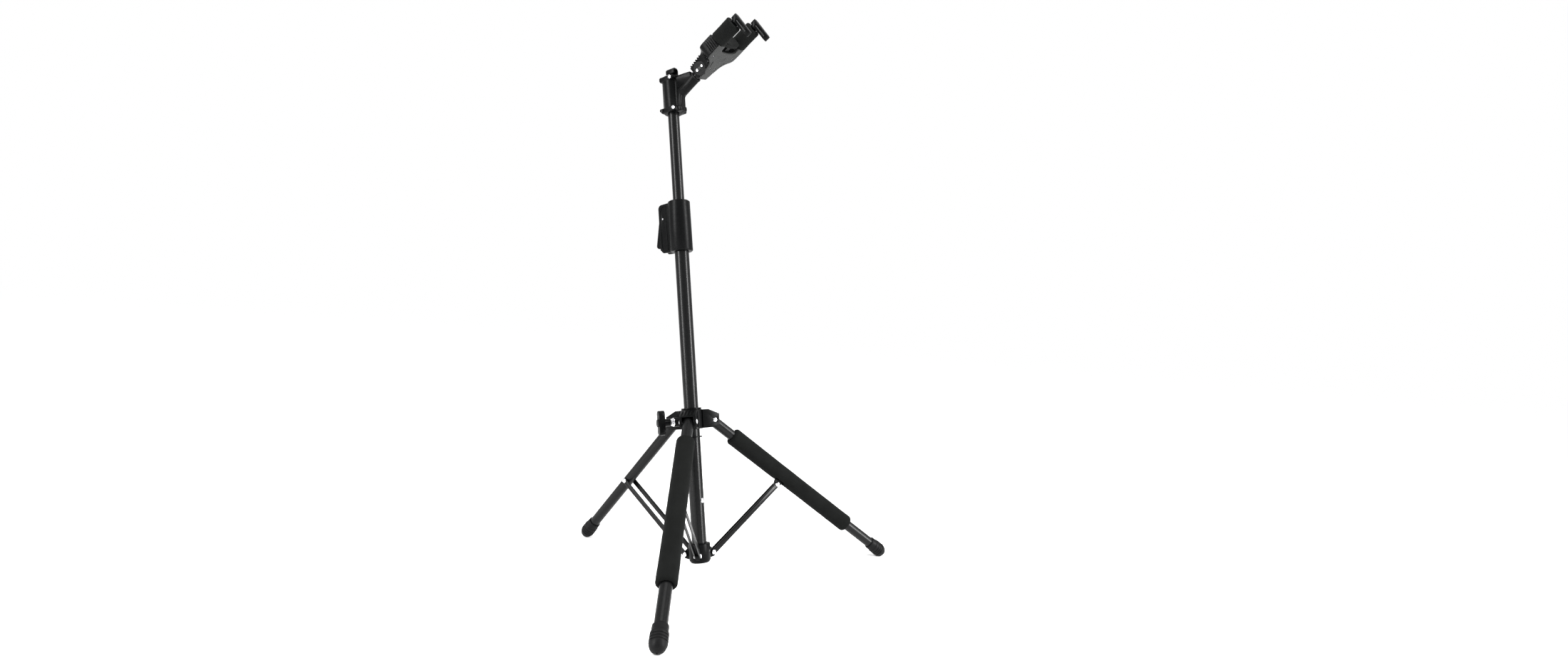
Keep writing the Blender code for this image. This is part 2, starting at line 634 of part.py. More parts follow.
def make_hub(hub):
    flange = HUB_TOP + 2.6 * MM
    profile = [(17.4 * MM, flange), (17.4 * MM, HUB_TOP + 0.4 * MM), (16 * MM, HUB_TOP),
               (HUB_RADIUS - 1.5 * MM, HUB_TOP), (HUB_RADIUS, HUB_TOP - 1.5 * MM),
               (HUB_RADIUS, HUB_BOTTOM + 1 * MM), (HUB_RADIUS - 1 * MM, HUB_BOTTOM),
               (MAST_RADIUS + GAP, HUB_BOTTOM), (MAST_RADIUS + GAP, flange)]
    body = turned("hub", profile, "black_plastic", hub, closed=True)
    end = HUB_PIVOT_R + 8.5 * MM
    pivot = HUB_PIVOT_Z
    for name, (heading, _, _) in LEGS.items():
        outline = [(15 * MM, HUB_BOTTOM + 0.5 * MM), (end - 5 * MM, pivot - 12 * MM),
                   (end, pivot - 7 * MM), (end, pivot + 10 * MM), (24 * MM, HUB_TOP - 1 * MM),
                   (15 * MM, HUB_TOP - 1 * MM)]
        arm = outline_mesh("socket", outline, -SOCKET_WIDTH / 2, SOCKET_WIDTH / 2)
        arm.transform(side_view(heading))
        combine(body, piece(name + "_socket", arm, None, hub), "UNION")
    boss = rod_mesh("bolt_boss", 8 * MM, outward(KNOB_HEADING, 15 * MM),
                    outward(KNOB_HEADING, 33 * MM), TURN_STEPS)
    combine(body, piece("bolt_boss", boss, None, hub, location=(0, 0, BOLT_Z)), "UNION")
    inner = LEG_RADIUS + 0.45 * MM
    for name, (heading, _, _) in LEGS.items():
        back = HUB_PIVOT_R - 12.6 * MM
        room = [(back, pivot - 30 * MM), (end + 20 * MM, pivot - 30 * MM),
                (end + 20 * MM, pivot + 7.5 * MM), (end, pivot + 8 * MM),
                (end - 5 * MM, pivot + 11 * MM), (back, pivot + 12.6 * MM)]
        slot = outline_mesh("slot", room, -inner, inner)
        slot.transform(side_view(heading))
        combine(body, piece(name + "_slot", slot, None, hub))
        place = outward(heading, HUB_PIVOT_R) + Vector((0, 0, pivot))
        drill(body, name + "_hub_hole", hub, location=place, rotation=(0, 0, heading))
    core = rod_mesh("hub_core", MAST_RADIUS + 0.35 * MM, (0, 0, HUB_BOTTOM - 50 * MM),
                    (0, 0, HUB_TOP + 50 * MM), 32)
    combine(body, piece("hub_core", core, None, hub))
    bolt_way = rod_mesh("bolt_way", 3.4 * MM, outward(KNOB_HEADING, 8 * MM),
                        outward(KNOB_HEADING, 40 * MM), 12)
    combine(body, piece("bolt_way", bolt_way, None, hub, location=(0, 0, BOLT_Z)))
    for name, (heading, _, _) in LEGS.items():
        place = outward(heading, HUB_PIVOT_R) + Vector((0, 0, pivot))
        turned(name + "_hub_pin", cross_pin(SOCKET_WIDTH / 2 + GAP), "chrome", hub, steps=12,
               location=place, rotation=(0, math.radians(90), heading))
    nut = rod_mesh("clamp_nut", 6.4 * MM, outward(KNOB_HEADING, 33.3 * MM),
                   outward(KNOB_HEADING, 37.5 * MM), 6)
    nut_piece = piece("clamp_nut", nut, "chrome", hub, location=(0, 0, BOLT_Z))
    way = rod_mesh("nut_way", 3.4 * MM, outward(KNOB_HEADING, 30 * MM),
                   outward(KNOB_HEADING, 40 * MM), 12)
    combine(nut_piece, piece("nut_way", way, None, hub, location=(0, 0, BOLT_Z)))


def make_knob(hub):
    """Wing knob and its bolt; the frame's -Y axis runs out along the bolt."""
    knob = empty("wing_knob_joint", hub, (0, 0, BOLT_Z), (0, 0, KNOB_HEADING))
    outline = arc((0, 14 * MM), 6.8 * MM, -20, 200, 8) + arc((0, -14 * MM), 6.8 * MM, 160, 380, 8)
    wings = outline_mesh("wings", outline, 50 * MM, 60 * MM)
    wings.transform(Matrix.Rotation(math.radians(90), 4, "X"))
    knob_piece = piece("wing_knob", wings, "black_plastic", knob)
    neck = rod_mesh("neck", 6.5 * MM, (0, -39.5 * MM, 0), (0, -62 * MM, 0), TURN_STEPS)
    combine(knob_piece, piece("knob_neck", neck, None, knob), "UNION")
    way = rod_mesh("knob_way", 3.3 * MM, (0, -36 * MM, 0), (0, -56.3 * MM, 0), 12)
    combine(knob_piece, piece("knob_way", way, None, knob))
    bolt = rod_mesh("clamp_bolt", 3 * MM, (0, -MAST_RADIUS - 0.6 * MM, 0), (0, -56 * MM, 0), 12)
    piece("clamp_bolt", bolt, "chrome", knob)


# ---------------------------------------------------------------- legs and struts

def boot_profile(length):
    """A hollow rubber boot on the end of a leg, with a domed tip."""
    tip = -length
    rim = tip + BOOT_LENGTH
    dome = tip + BOOT_DOME
    outer = [(10.6 * MM, rim), (11.2 * MM, rim - 3 * MM), (12.3 * MM, rim - 14 * MM),
             (12.6 * MM, dome + 8 * MM), (BOOT_DOME, dome)]
    for degrees in (30, 60):
        angle = math.radians(degrees)
        outer.append((BOOT_DOME * math.cos(angle), dome - BOOT_DOME * math.sin(angle)))
    outer.append((0, tip))
    inner = [(0, dome + 1 * MM), (LEG_RADIUS + GAP, dome + 1 * MM), (LEG_RADIUS + GAP, rim)]
    return outer, inner


def make_leg(name, hub):
    heading, length, front = LEGS[name]
    place = outward(heading, HUB_PIVOT_R) + Vector((0, 0, HUB_PIVOT_Z))
    leg = empty(name + "_leg_joint", hub, place, (-OPEN_ANGLE, 0, heading))
    tube = ring(name + "_leg", LEG_BORE, LEG_RADIUS, -length + BOOT_DOME + 1.5 * MM, LEG_TOP,
                "powder_coat", leg)
    drill(tube, name + "_pivot_hole", leg)
    outer, inner = boot_profile(length)
    boot = turned(name + "_boot", outer + inner, "rubber", leg)
    profile_edges(boot)
    if front:
        make_ear_and_foam(name, leg)
        pin_place = (0, EAR_OFFSET, -STRUT_ON_FRONT_LEG)
        half = EAR_THICKNESS / 2 + GAP + BAR_THICKNESS + GAP
    else:
        pin_place = (0, 0, -STRUT_ON_REAR_LEG)
        half = LEG_RADIUS + 0.5 * MM + BAR_THICKNESS + GAP
        drill(tube, name + "_strut_pin_way", leg, location=pin_place)
    turned(name + "_strut_pin", cross_pin(half, 3.9 * MM, 1.6 * MM), "chrome", leg, steps=12,
           location=pin_place, rotation=(0, math.radians(90), 0))
    make_strut(name, leg, pin_place)


def make_ear_and_foam(name, leg):
    down = STRUT_ON_FRONT_LEG
    half = EAR_THICKNESS / 2
    outline = [(LEG_RADIUS + 0.4 * MM, -down + 9 * MM), (LEG_RADIUS + 0.4 * MM, -down - 9 * MM)]
    outline += arc((EAR_OFFSET, -down), 5.4 * MM, -60, 60, 6)
    ear = outline_mesh("ear", outline, -half, half)
    ear_piece = piece(name + "_ear", across_x(ear), "powder_coat", leg)
    drill(ear_piece, name + "_ear_hole", leg, location=(0, EAR_OFFSET, -down))
    bend = 4 * MM
    foam_profile = [(FOAM_RADIUS - bend, -FOAM_START), (FOAM_RADIUS - 1 * MM, -FOAM_START - 2 * MM),
                    (FOAM_RADIUS, -FOAM_START - bend - 1 * MM), (FOAM_RADIUS, -FOAM_END + bend),
                    (FOAM_RADIUS - 1 * MM, -FOAM_END + 1.5 * MM), (FOAM_RADIUS - bend, -FOAM_END),
                    (LEG_RADIUS + GAP, -FOAM_END), (LEG_RADIUS + GAP, -FOAM_START)]
    foam = turned(name + "_foam", foam_profile, "foam", leg, closed=True)
    room = half + GAP + BAR_THICKNESS + 2.6 * MM
    notch = span_box("foam_notch", (-room, 4 * MM, -down - 11 * MM), (room, 30 * MM, -down + 11 * MM))
    combine(foam, piece(name + "_foam_notch", notch, None, leg))


def make_strut(name, leg, pin_place):
    """A pair of flat bars from a leg's strut pin down to the collar; the frame's -Z runs along."""
    front = LEGS[name][2]
    pin = strut_pin(front)
    collar = Vector((COLLAR_PIVOT_R, COLLAR_PIVOT_Z))
    span = pin - collar
    length = span.length
    fall = math.atan2(span.x, span.y)
    strut = empty(name + "_strut_joint", leg, pin_place, (OPEN_ANGLE + fall, 0, 0))
    inner = EAR_THICKNESS / 2 + GAP if front else LEG_RADIUS + 0.5 * MM
    outline = arc((0, 0), BAR_WIDTH / 2, 0, 180, 6) + arc((0, -length), BAR_WIDTH / 2, 180, 360, 6)
    for side, label in ((-1, "left"), (1, "right")):
        low, high = sorted((side * inner, side * (inner + BAR_THICKNESS)))
        bar = outline_mesh("bar", outline, low, high)
        bar_piece = piece(f"{name}_strut_{label}", across_x(bar), "powder_coat", strut)
        drill(bar_piece, f"{name}_{label}_eye", strut)


# ---------------------------------------------------------------- yoke

def yoke_outline(inset=0.0):
    """The yoke's body seen from its face, neck at the bottom, as (x, along the stem)."""
    half = [(12.7, 0), (21, 29.7), (28, 38), (36, 43.5), (45, 47), (49, 51), (50.7, 58), (50.7, 77.7)]
    half = [((x - inset / MM) * MM, (y + (inset / MM if y == 0 else 0)) * MM) for x, y in half]
    saddle = [(27.2, 77.7), (27.2, 71), (25, 68.6), (20, 67), (11, 66)]
    dip = [(x * MM, y * MM) for x, y in saddle]
    right = half + dip
    left = [(-x, y) for x, y in reversed(right)]
    return right + left


def along_stub(mesh):
    """Turns (x, along the stub, towards the face) into the stub frame's axes; the face is at -Y."""
    mesh.transform(Matrix(((1, 0, 0, 0), (0, 0, -1, 0), (0, 1, 0, 0), (0, 0, 0, 1))))
    return mesh


def make_yoke(shaft):
    stem = stub_frame("stem_joint", shaft, YOKE_BASE)
    profile = [(0, 24 * MM), (STEM_RADIUS, 24 * MM), (STEM_RADIUS, -28 * MM), (7 * MM, -29 * MM),
               (7 * MM, -31 * MM), (4 * MM, -33 * MM), (0, -33 * MM)]
    turned("yoke_stem", profile, "powder_coat", stem)
    yoke = stub_frame("yoke_joint", stem, 0)
    yoke.location = (0, 0, 0)
    yoke.rotation_quaternion = Matrix.Rotation(YOKE_TURN, 3, "Z").to_quaternion()
    body_mesh = along_stub(outline_mesh("yoke_body", yoke_outline(), YOKE_BACK, YOKE_FRONT))
    body = piece("yoke_rear_shell", body_mesh, "black_plastic", yoke)
    bore = rod_mesh("stem_bore", STEM_RADIUS + GAP, (0, 0, -5 * MM), (0, 0, 25 * MM), TURN_STEPS)
    combine(body, piece("stem_bore", bore, None, yoke))
    well = span_box("spring_well", (-7 * MM, -20 * MM, 36 * MM), (7 * MM, 6.6 * MM, 90 * MM))
    combine(body, piece("spring_well", well, None, yoke))
    for side, label in ((-1, "left"), (1, "right")):
        way = rod_mesh("journal_way", JOURNAL_RADIUS + GAP, (side * ARM_X, 0, 51 * MM),
                       (side * ARM_X, 0, 90 * MM), TURN_STEPS)
        combine(body, piece(label + "_journal_way", way, None, yoke))
    far = 40 * MM
    barrel_way = rod_mesh("barrel_way", BARREL_RADIUS + GAP, (-far, BARREL_Y, BARREL_UP),
                          (far, BARREL_Y, BARREL_UP))
    combine(body, piece("barrel_way", barrel_way, None, yoke))
    # The barrel's round ends show as discs in the sides of the neck.
    disc_in, disc_out = DISC_SPAN
    profile = [(0, disc_out), (DISC_RADIUS, disc_out), (DISC_RADIUS, disc_in),
               (BARREL_RADIUS, disc_in)]
    profile += [(r, -z) for r, z in reversed(profile)]
    barrel_piece = turned("neck_barrel", profile, "black_plastic", yoke,
                          location=(0, BARREL_Y, BARREL_UP), rotation=(0, math.radians(90), 0))
    stem_way = rod_mesh("barrel_bore", STEM_RADIUS + GAP, (0, 0, -15 * MM), (0, 0, 35 * MM))
    combine(barrel_piece, piece("barrel_bore", stem_way, None, yoke))
    face_low = YOKE_FRONT + GAP
    face_mesh = along_stub(outline_mesh("yoke_face", yoke_outline(1 * MM), face_low,
                                        face_low + FACE_THICKNESS))
    face = piece("yoke_face_plate", face_mesh, "grey_plastic", yoke)
    for side in (-1, 1):
        for solid in (body, face):
            pocket = rod_mesh("disc_pocket", DISC_RADIUS + 0.4 * MM,
                              (side * (disc_in - GAP), BARREL_Y, BARREL_UP),
                              (side * far, BARREL_Y, BARREL_UP))
            combine(solid, piece("disc_pocket", pocket, None, yoke))
    spring("saddle_spring", 4.2 * MM, 1.0 * MM, 37 * MM, 49.2 * MM, 4, yoke)
    make_saddle(yoke)
    for side, label in ((-1, "left"), (1, "right")):
        make_arm(yoke, side, label)


def make_saddle(yoke):
    """The pressed seat, its tongue down to the spring, and the soft pad on its top."""
    saddle = empty("saddle_joint", yoke, (0, 0, SADDLE_REST))
    half = 26 * MM
    top, bottom = [], []
    for x in (half, half * 2 / 3, half / 3):
        top.append((x, 0.5 * MM + 2 * MM * (x / half) ** 2))
        bottom.append((x, -5.2 * MM + 4.4 * MM * (x / half) ** 2))
    bottom += [(7 * MM, -4.9 * MM), (6.4 * MM, -30 * MM)]
    right = bottom[::-1] + top
    outline = right + [(-x, y) for x, y in reversed(right)]
    body = along_stub(outline_mesh("saddle", outline, -6 * MM, YOKE_FRONT - 1 * MM))
    piece("saddle", body, "black_plastic", saddle)
    whole_top = top + [(-x, y) for x, y in reversed(top)]
    pad_top = [(x, y + 2.6 * MM) for x, y in whole_top]
    pad_low = [(x, y + GAP) for x, y in reversed(whole_top)]
    pad = along_stub(outline_mesh("saddle_pad", pad_top + pad_low, -9 * MM, YOKE_FRONT))
    piece("saddle_pad", pad, "foam", saddle)


def make_arm(yoke, side, label):
    arm = empty(label + "_arm_joint", yoke, (side * ARM_X, 0, ARM_BASE))
    span = ARM_END - ARM_BASE
    profile = [(0, span), (8 * MM, span), (8 * MM, GAP), (JOURNAL_RADIUS, GAP),
               (JOURNAL_RADIUS, -26 * MM), (0, -26 * MM)]
    turned(label + "_arm", profile, "black_plastic", arm)
    soft = 2 * MM
    foam = [(ARM_FOAM_RADIUS - soft, span - GAP), (ARM_FOAM_RADIUS, span - soft),
            (ARM_FOAM_RADIUS, GAP + soft), (ARM_FOAM_RADIUS - soft, GAP), (8 * MM + GAP, GAP),
            (8 * MM + GAP, span - GAP)]
    turned(label + "_arm_foam", foam, "foam", arm, closed=True)
    # The finger's outline runs from behind the arm to its tip, towards the face.
    outline = arc((0, 4 * MM), 6 * MM, 0, 180, 6) + arc((0, -27 * MM), 5 * MM, 180, 360, 6)
    finger = outline_mesh("finger", outline, span + FINGER_GAP, FINGER_END - ARM_BASE)
    finger_piece = piece(label + "_finger", finger, "black_plastic", arm)
    neck = rod_mesh("finger_neck", 6.2 * MM, (0, 0, span + GAP), (0, 0, span + 8 * MM), TURN_STEPS)
    combine(finger_piece, piece(label + "_finger_neck", neck, None, arm), "UNION")
    bevel(finger_piece, 1.2 * MM, 1)


# ---------------------------------------------------------------- assembly

def make_stand():
    stand = empty("stand_frame", None, STAND_SHIFT, (-LEAN, 0, 0))
    make_mast(stand)
    make_collar(stand)
    make_clutch(stand)
    shaft = empty("height_joint", stand)
    make_shaft(shaft)
    make_head(shaft)
    make_yoke(shaft)
    hub = empty("hub_joint", stand)
    make_hub(hub)
    make_knob(hub)
    for name in LEGS:
        make_leg(name, hub)


make_stand()
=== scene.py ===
"""Looks of the folding guitar stand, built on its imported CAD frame.

The mast leans back, so most pieces are made in one of three handy frames: the mast's (Z up the
mast, -Y to its front), a leg's (Z up the leg, X along its pin) or the yoke's (Z out along the
stem, -Y towards its face). Units are metres.
"""
import json
import math

import bmesh
import bpy
from mathutils import Matrix, Vector, noise

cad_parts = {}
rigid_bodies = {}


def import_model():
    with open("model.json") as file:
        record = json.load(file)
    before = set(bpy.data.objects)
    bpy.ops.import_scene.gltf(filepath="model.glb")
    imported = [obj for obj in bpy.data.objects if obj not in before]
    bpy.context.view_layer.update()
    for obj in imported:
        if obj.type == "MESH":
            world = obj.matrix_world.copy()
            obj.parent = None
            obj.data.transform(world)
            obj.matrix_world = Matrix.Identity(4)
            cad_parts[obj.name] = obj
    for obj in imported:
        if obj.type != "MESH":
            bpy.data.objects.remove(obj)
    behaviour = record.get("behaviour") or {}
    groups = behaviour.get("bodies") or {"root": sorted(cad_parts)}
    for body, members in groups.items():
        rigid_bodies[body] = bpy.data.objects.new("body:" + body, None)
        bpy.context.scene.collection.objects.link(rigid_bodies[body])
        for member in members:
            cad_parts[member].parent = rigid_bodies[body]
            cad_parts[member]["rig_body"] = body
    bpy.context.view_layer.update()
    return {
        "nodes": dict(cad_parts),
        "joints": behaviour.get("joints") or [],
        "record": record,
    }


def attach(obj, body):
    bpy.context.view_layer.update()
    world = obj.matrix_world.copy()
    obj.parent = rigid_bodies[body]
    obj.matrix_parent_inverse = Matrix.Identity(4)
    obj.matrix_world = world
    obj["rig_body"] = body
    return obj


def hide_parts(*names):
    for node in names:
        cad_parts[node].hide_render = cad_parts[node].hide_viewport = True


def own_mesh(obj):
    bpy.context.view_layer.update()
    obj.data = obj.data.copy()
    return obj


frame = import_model()

MM = 0.001
JOINTS = {joint["name"]: joint for joint in frame["joints"]}
LEG_NAMES = ("front_left", "front_right", "rear")

# Sizes that the CAD also has
BOLT_Z = 239 * MM
OPEN_ANGLE = math.radians(50.3)
LEG_LENGTHS = {"front_left": 432 * MM, "front_right": 432 * MM, "rear": 310 * MM}
STRUT_FACE = {"front_left": 5.3 * MM, "front_right": 5.3 * MM, "rear": 11.75 * MM}
COLLAR_PIVOT = (23.5 * MM, 15 * MM)
FOAM_SPAN = (47 * MM, 331 * MM)
FOAM_RADIUS = 15.3 * MM
LEG_RADIUS = 9.25 * MM
ARM_RADIUS = 8 * MM
ARM_X = 41 * MM
ARM_BASE = 78 * MM
ARM_SPAN = 40 * MM
ARM_FOAM_RADIUS = 14 * MM
YOKE_BACK = 13 * MM
YOKE_FACE = -9 * MM
BARREL = (0, 0.2 * MM, 15.5 * MM)     # middle of the barrel across the yoke's neck
DISC_RADIUS = 12 * MM
DISC_OUTSIDE = 15.6 * MM
SADDLE_TOP = 80.8 * MM                # underside of the cushion
HEAD_SIDE = 16.45 * MM                # the head's flank, where its screws' heads stand
KNOB_HEADING = math.radians(-120)

# Sizes that only the looks have
SLEEVE_GAP = 0.3 * MM                 # between a foam sleeve and the tube in it
LEG_SHOULDER = 4.2 * MM               # rounding of a leg sleeve's ends
ARM_SHOULDER = 2.6 * MM
SCREW_SIZE = (3.1 * MM, 1.9 * MM)     # radius and height of a screw's head
FACE_FRONT = YOKE_FACE - 3.0 * MM
FINGER_GROOVE_Z = 125.4 * MM
FINGER_TAPER = 0.032                  # turn of a groove, along the finger's tapered side

MERGE_DISTANCE = 3e-6
FLAT_ANGLE = math.radians(1)


# ---------------------------------------------------------------- frames

def frame_from(x_axis, z_axis, place):
    """A frame with Z exactly along z_axis and X as near to x_axis as it can be."""
    z_axis = Vector(z_axis).normalized()
    y_axis = z_axis.cross(Vector(x_axis)).normalized()
    x_axis = y_axis.cross(z_axis)
    turn = Matrix((x_axis, y_axis, z_axis)).transposed().to_4x4()
    return Matrix.Translation(Vector(place)) @ turn


UP = Vector(JOINTS["height_slide"]["axis"])
MAST_TURN = frame_from((1, 0, 0), UP, (0, 0, 0))
MAST_FOOT = Vector(JOINTS["knob_turn"]["pos_m"]) - UP * BOLT_Z
MAST = Matrix.Translation(MAST_FOOT) @ MAST_TURN


def leg_frame(name):
    joint = JOINTS[name + "_leg_fold"]
    across = Vector(joint["axis"])
    outward = across.cross(UP)
    up_leg = UP * math.cos(OPEN_ANGLE) - outward * math.sin(OPEN_ANGLE)
    return frame_from(across, up_leg, joint["pos_m"])


def strut_frame(name):
    """Z runs up the strut from the collar; the origin is the strut's pin on the leg."""
    across = Vector(JOINTS[name + "_leg_fold"]["axis"])
    outward = across.cross(UP)
    collar = MAST_FOOT + outward * COLLAR_PIVOT[0] + UP * COLLAR_PIVOT[1]
    pin = Vector(JOINTS[name + "_strut_swing"]["pos_m"])
    return frame_from(across, pin - collar, pin), (pin - collar).length


def yoke_frame():
    left = Vector(JOINTS["left_arm_turn"]["pos_m"])
    right = Vector(JOINTS["right_arm_turn"]["pos_m"])
    return frame_from(right - left, JOINTS["yoke_turn"]["axis"], JOINTS["yoke_turn"]["pos_m"])


LEG = {name: leg_frame(name) for name in LEG_NAMES}
YOKE = yoke_frame()


# ---------------------------------------------------------------- materials

BROAD_SCALE = 38                      # of the colour's slow changes
WORN_SCALE = 210                      # of the roughness's changes


def finish_of(name, colour, roughness, grain, depth, metallic=0.0, specular=0.5, coat=0.0,
              sheen=0.0, spread=0.15, cells=False):
    """A shader whose colour, roughness and surface vary a little; grain sets the bump's scale."""
    made = bpy.data.materials.new(name)
    made.use_nodes = True
    tree = made.node_tree
    shader = tree.nodes["Principled BSDF"]
    shader.inputs["Metallic"].default_value = metallic
    shader.inputs["Specular IOR Level"].default_value = specular
    shader.inputs["Coat Weight"].default_value = coat
    shader.inputs["Coat Roughness"].default_value = 0.12
    shader.inputs["Sheen Weight"].default_value = sheen
    shader.inputs["Sheen Roughness"].default_value = 0.5
    place = tree.nodes.new("ShaderNodeTexCoord")

    def noise_node(scale, detail):
        node = tree.nodes.new("ShaderNodeTexNoise")
        node.inputs["Scale"].default_value = scale
        node.inputs["Detail"].default_value = detail
        tree.links.new(place.outputs["Object"], node.inputs["Vector"])
        return node

    broad = noise_node(BROAD_SCALE, 4)
    mix = tree.nodes.new("ShaderNodeMix")
    mix.data_type = "RGBA"
    mix.inputs["A"].default_value = [c * (1 - spread) for c in colour] + [1]
    mix.inputs["B"].default_value = [c * (1 + spread) for c in colour] + [1]
    tree.links.new(broad.outputs["Fac"], mix.inputs["Factor"])
    tree.links.new(mix.outputs["Result"], shader.inputs["Base Color"])

    worn = noise_node(WORN_SCALE, 3)
    level = tree.nodes.new("ShaderNodeMapRange")
    level.inputs["From Min"].default_value = 0.3
    level.inputs["From Max"].default_value = 0.7
    level.inputs["To Min"].default_value = roughness * 0.86
    level.inputs["To Max"].default_value = min(1.0, roughness * 1.14)
    tree.links.new(worn.outputs["Fac"], level.inputs["Value"])
    tree.links.new(level.outputs["Result"], shader.inputs["Roughness"])

    bump = tree.nodes.new("ShaderNodeBump")
    bump.inputs["Strength"].default_value = 0.6
    bump.inputs["Distance"].default_value = depth
    if cells:
        pores = tree.nodes.new("ShaderNodeTexVoronoi")
        pores.inputs["Scale"].default_value = grain
        tree.links.new(place.outputs["Object"], pores.inputs["Vector"])
        height = pores.outputs["Distance"]
    else:
        height = noise_node(grain, 3).outputs["Fac"]
    tree.links.new(height, bump.inputs["Height"])
    tree.links.new(bump.outputs["Normal"], shader.inputs["Normal"])
    return made


FINISH = {
    "powder_coat": finish_of("powder_coat_black", (0.0012, 0.0013, 0.0014), 0.3, 900, 0.000004,
                             specular=0.14, coat=0.02),
    "black_plastic": finish_of("moulded_black", (0.0011, 0.0012, 0.0013), 0.36, 1900, 0.00002,
                               specular=0.06),
    "grey_plastic": finish_of("moulded_grey", (0.02, 0.0205, 0.0202), 0.5, 1900, 0.000025,
                              specular=0.1),
    "foam": finish_of("cellular_foam", (0.0042, 0.0045, 0.0043), 0.97, 1300, 0.00022,
                      specular=0.03, sheen=0.012, spread=0.35, cells=True),
    "rubber": finish_of("boot_rubber", (0.0028, 0.0028, 0.003), 0.5, 1500, 0.00004,
                        specular=0.08, spread=0.25),
    "chrome": finish_of("bright_plate", (0.82, 0.82, 0.84), 0.14, 600, 0.000004, metallic=1.0,
                        spread=0.05),
    "spring_steel": finish_of("plain_steel", (0.42, 0.42, 0.44), 0.33, 900, 0.00001, metallic=1.0,
                              spread=0.1),
}


# ---------------------------------------------------------------- making pieces

def new_piece(name, bm, slot, body, matrix=None, sharp=38, replaces=()):
    """Turns a bmesh into a shaded piece that rides on a body."""
    bmesh.ops.recalc_face_normals(bm, faces=bm.faces)
    mesh = bpy.data.meshes.new(name)
    bm.to_mesh(mesh)
    bm.free()
    mesh.shade_smooth()
    mesh.set_sharp_from_angle(angle=math.radians(sharp))
    mesh.materials.append(FINISH[slot])
    obj = bpy.data.objects.new(name, mesh)
    bpy.context.scene.collection.objects.link(obj)
    if matrix is not None:
        mesh.transform(matrix)
    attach(obj, body)
    if replaces:
        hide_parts(*replaces)
    return obj


def cut(bm, *cutters):
    """Takes cutters, each a bmesh, out of a bmesh, and gives back the result."""
    main = temporary(bm)
    tools = [temporary(cutter) for cutter in cutters]
    for tool in tools:
        boolean = main.modifiers.new("cut", "BOOLEAN")
        boolean.solver = "EXACT"
        boolean.object = tool
    graph = bpy.context.evaluated_depsgraph_get()
    result = bmesh.new()
    result.from_object(main, graph)
    for obj in [main] + tools:
        bpy.data.objects.remove(obj, do_unlink=True)
    return result


def temporary(bm):
    mesh = bpy.data.meshes.new("temporary")
    bmesh.ops.recalc_face_normals(bm, faces=bm.faces)
    bm.to_mesh(mesh)
    bm.free()
    obj = bpy.data.objects.new("temporary", mesh)
    bpy.context.scene.collection.objects.link(obj)
    return obj


def lathe(profile, steps=48, closed=False):
    """A profile of (radius, height) spun about Z; a radius of 0 makes a pole."""
    bm = bmesh.new()
    rings = []
    for radius, height in profile:
        if radius < 1e-7:
            rings.append([bm.verts.new((0, 0, height))])
            continue
        ring = []
        for i in range(steps):
            angle = math.tau * i / steps
            ring.append(bm.verts.new((radius * math.cos(angle), radius * math.sin(angle), height)))
        rings.append(ring)
    pairs = list(zip(rings, rings[1:]))
    if closed:
        pairs.append((rings[-1], rings[0]))
    for low, high in pairs:
        for i in range(steps):
            j = (i + 1) % steps
            corners = [low[i % len(low)], low[j % len(low)], high[j % len(high)], high[i % len(high)]]
            unique = list(dict.fromkeys(corners))
            if len(unique) > 2:
                bm.faces.new(unique)
    return bm


def smoothed(points, rounds=2):
    """Rounds off a line's corners by cutting them, ends kept."""
    for _ in range(rounds):
        line = [points[0]]
        for (ax, ay), (bx, by) in zip(points, points[1:]):
            line.append((ax * 0.75 + bx * 0.25, ay * 0.75 + by * 0.25))
            line.append((ax * 0.25 + bx * 0.75, ay * 0.25 + by * 0.75))
        line.append(points[-1])
        points = line
    return points


def rounded_box(size, centre=(0, 0, 0), radius=0.5 * MM, segments=2, turn=None):
    bm = bmesh.new()
    bmesh.ops.create_cube(bm, size=1)
    bmesh.ops.scale(bm, vec=Vector(size), verts=bm.verts)
    if radius:
        bmesh.ops.bevel(bm, geom=bm.edges[:], offset=radius, segments=segments, profile=0.5,
                        affect="EDGES", clamp_overlap=True)
    if turn is not None:
        bmesh.ops.transform(bm, matrix=turn, verts=bm.verts)
    bmesh.ops.translate(bm, vec=Vector(centre), verts=bm.verts)
    return bm


def slab(points, low, high, low_round, high_round, segments=3):
    """A flat outline in (x, z) standing from y = low to y = high, with its two rims rounded."""
    bm = bmesh.new()
    bottom = bm.faces.new([bm.verts.new((x, low, z)) for x, z in points])
    top_verts = [bm.verts.new((x, high, z)) for x, z in points]
    top = bm.faces.new(top_verts)
    count = len(points)
    bottom_verts = bottom.verts[:]
    for i in range(count):
        j = (i + 1) % count
        bm.faces.new((bottom_verts[i], bottom_verts[j], top_verts[j], top_verts[i]))
    for face, rounding in ((bottom, low_round), (top, high_round)):
        if rounding:
            bmesh.ops.bevel(bm, geom=face.edges[:], offset=rounding, segments=segments,
                            profile=0.5, affect="EDGES", clamp_overlap=True)
    bmesh.ops.recalc_face_normals(bm, faces=bm.faces)
    return bm


def joined(parts):
    """Several bmeshes as one."""
    whole = bmesh.new()
    for part in parts:
        mesh = bpy.data.meshes.new("part")
        part.to_mesh(mesh)
        part.free()
        whole.from_mesh(mesh)
        bpy.data.meshes.remove(mesh)
    return whole


def moved(bm, matrix):
    bmesh.ops.transform(bm, matrix=matrix, verts=bm.verts)
    return bm


